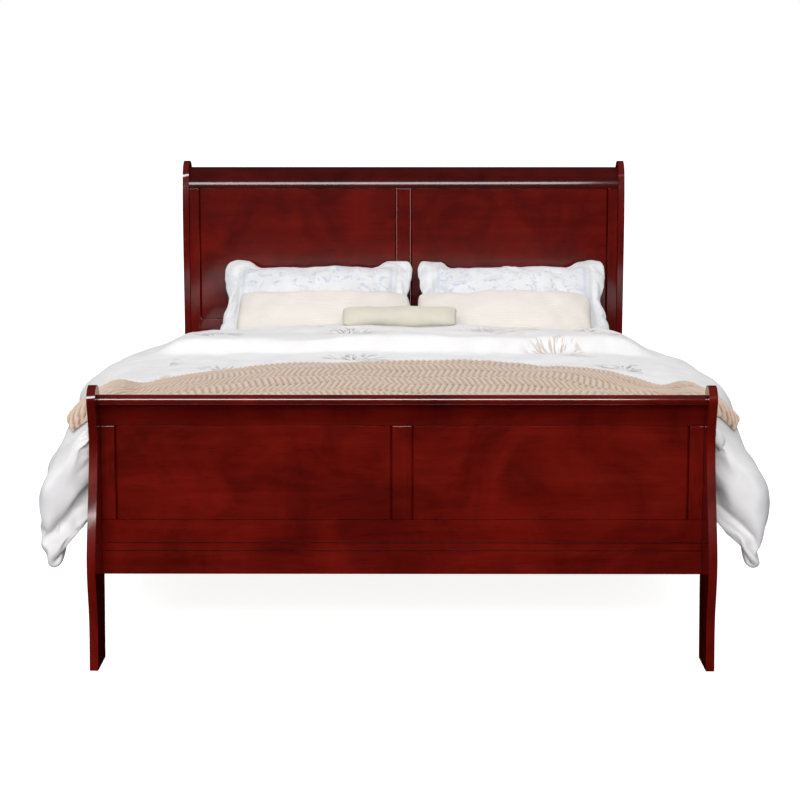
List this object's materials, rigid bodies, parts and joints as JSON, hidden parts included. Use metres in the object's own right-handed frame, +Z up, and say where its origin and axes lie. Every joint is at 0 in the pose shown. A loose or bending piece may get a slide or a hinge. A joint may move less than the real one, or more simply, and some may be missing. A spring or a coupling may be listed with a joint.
{
  "type": "sleigh bed",
  "caption": "Queen sleigh bed with scrolled cherry headboard and footboard, side rails, slats, a levelling centre leg, mattress, duvet, knit throw and pillows.",
  "frame": {"origin": "middle of the bed on the floor", "axes": "+X to the right seen from the foot, +Y towards the headboard, +Z up"},
  "size_m": [2.0104, 2.3326, 1.195],
  "materials": {
    "cherry_wood": "dark red cherry stain under a glossy clear lacquer, straight fine grain",
    "slat_pine": "sawn, unfinished pine",
    "zinc_steel": "zinc-plated steel",
    "glide_plastic": "black moulded nylon",
    "mattress_ticking": "white quilted ticking",
    "foundation_cover": "plain woven cover",
    "duvet_cotton": "white printed cotton with faint grey and beige sprigs",
    "throw_knit": "tan cable knit with ribbed ends",
    "sham_quilt": "white cotton with a pale blue scrolled border, quilted edge",
    "cream_ribbed": "cream fine-ribbed cotton",
    "sage_linen": "pale sage linen"
  },
  "bodies": {
    "frame": {"centre_leg": "slat_pine", "corner_bracket_foot_left": "zinc_steel", "corner_bracket_foot_right": "zinc_steel", "corner_bracket_head_left": "zinc_steel", "corner_bracket_head_right": "zinc_steel", "duvet": "duvet_cotton", "end_bolt_foot_left": "zinc_steel", "end_bolt_foot_right": "zinc_steel", "end_bolt_head_left": "zinc_steel", "end_bolt_head_right": "zinc_steel", "footboard_bead": "cherry_wood", "footboard_bottom_rail": "cherry_wood", "footboard_crest_rail": "cherry_wood", "footboard_mullion": "cherry_wood", "footboard_panel_left": "cherry_wood", "footboard_panel_right": "cherry_wood", "footboard_post_left": "cherry_wood", "footboard_post_right": "cherry_wood", "footboard_stile_left": "cherry_wood", "footboard_stile_right": "cherry_wood", "foundation": "foundation_cover", "headboard_bottom_rail": "cherry_wood", "headboard_crest_rail": "cherry_wood", "headboard_lower_panel": "cherry_wood", "headboard_mid_rail": "cherry_wood", "headboard_mullion": "cherry_wood", "headboard_panel_left": "cherry_wood", "headboard_panel_right": "cherry_wood", "headboard_post_left": "cherry_wood", "headboard_post_right": "cherry_wood", "headboard_stile_left": "cherry_wood", "headboard_stile_right": "cherry_wood", "lumbar_pillow": "sage_linen", "mattress": "mattress_ticking", "pillow_left": "cream_ribbed", "pillow_right": "cream_ribbed", "rail_bolt_foot_left": "zinc_steel", "rail_bolt_foot_right": "zinc_steel", "rail_bolt_head_left": "zinc_steel", "rail_bolt_head_right": "zinc_steel", "sham_left": "sham_quilt", "sham_right": "sham_quilt", "side_rail_left": "cherry_wood", "side_rail_right": "cherry_wood", "slat_1": "slat_pine", "slat_2": "slat_pine", "slat_3": "slat_pine", "slat_4": "slat_pine", "slat_5": "slat_pine", "slat_ledger_left": "slat_pine", "slat_ledger_right": "slat_pine", "throw": "throw_knit"},
    "glide": {"levelling_glide": "glide_plastic"}
  },
  "joints": [
    {"name": "glide_slide", "type": "slide", "parent": "frame", "child": "glide", "axis": [0, 0, -1], "range_m": [0, 0.015]}
  ]
}
